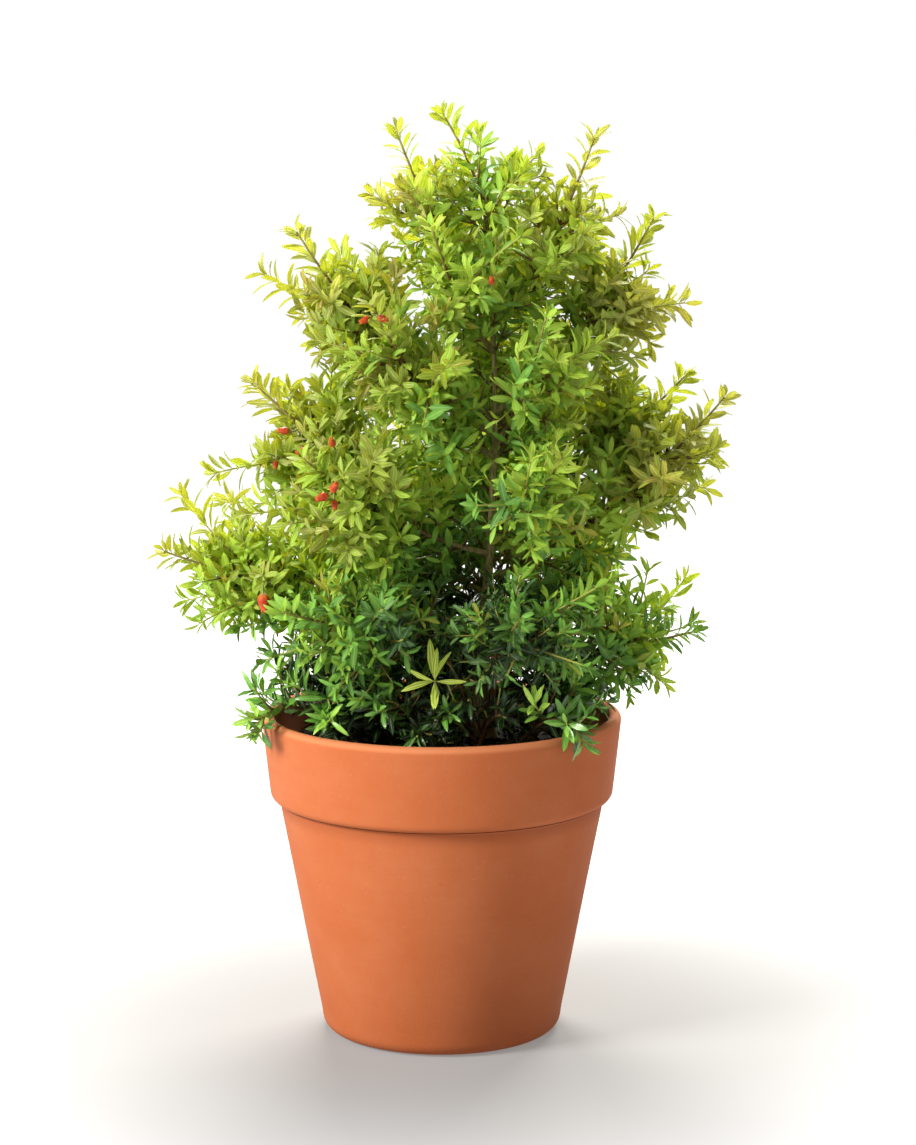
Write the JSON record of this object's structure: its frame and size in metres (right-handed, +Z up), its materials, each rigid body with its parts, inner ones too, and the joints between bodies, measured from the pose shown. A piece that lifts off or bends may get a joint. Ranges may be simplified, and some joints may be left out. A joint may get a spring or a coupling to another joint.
{
  "type": "potted pomegranate tree",
  "caption": "Small bushy tree with narrow leaves and red flower buds, growing in a tapered clay pot with a thick rim.",
  "frame": {"origin": "on the pot's axis, at the level the pot stands on", "axes": "+Z up along the pot's axis, +X to the right and -Y to the front"},
  "size_m": [0.4203, 0.371, 0.6631],
  "materials": {
    "terracotta": "matte unglazed clay",
    "soil": "rough dark compost",
    "bark": "rough brown bark",
    "foliage": "satin leaves",
    "shade_foliage": "glossy dark leaves",
    "flower_bud": "waxy"
  },
  "bodies": {
    "root": {"clay_pot": "terracotta", "soil": "soil", "woody_stem": "bark", "limb_leader": "foliage", "limb_crown_left": "foliage", "limb_crown_right": "foliage", "limb_crown_front": "foliage", "limb_crown_back": "foliage", "limb_high_left": "foliage", "limb_high_right": "foliage", "limb_high_front": "foliage", "limb_high_front_right": "foliage", "limb_high_back": "foliage", "limb_middle_left": "foliage", "limb_middle_right": "foliage", "limb_middle_front_left": "foliage", "limb_middle_front_right": "foliage", "limb_long_right": "foliage", "limb_middle_back": "foliage", "limb_middle_back_left": "foliage", "limb_low_left": "foliage", "limb_low_front_left": "foliage", "limb_low_front_right": "foliage", "limb_low_right": "foliage", "limb_low_back_right": "foliage", "limb_low_back_left": "foliage", "sprig_over_left_rim": "shade_foliage", "sprig_over_front_rim": "shade_foliage", "sprig_left": "shade_foliage", "sprig_front_left": "shade_foliage", "sprig_front": "shade_foliage", "sprig_rosette": "shade_foliage", "sprig_front_right": "shade_foliage", "sprig_right": "shade_foliage", "sprig_back_left": "shade_foliage", "sprig_back": "shade_foliage", "flower_bud_01": "flower_bud", "flower_bud_02": "flower_bud", "flower_bud_03": "flower_bud", "flower_bud_04": "flower_bud", "flower_bud_05": "flower_bud", "flower_bud_06": "flower_bud", "flower_bud_07": "flower_bud", "flower_bud_08": "flower_bud", "flower_bud_09": "flower_bud", "flower_bud_10": "flower_bud", "flower_bud_11": "flower_bud"}
  },
  "joints": []
}
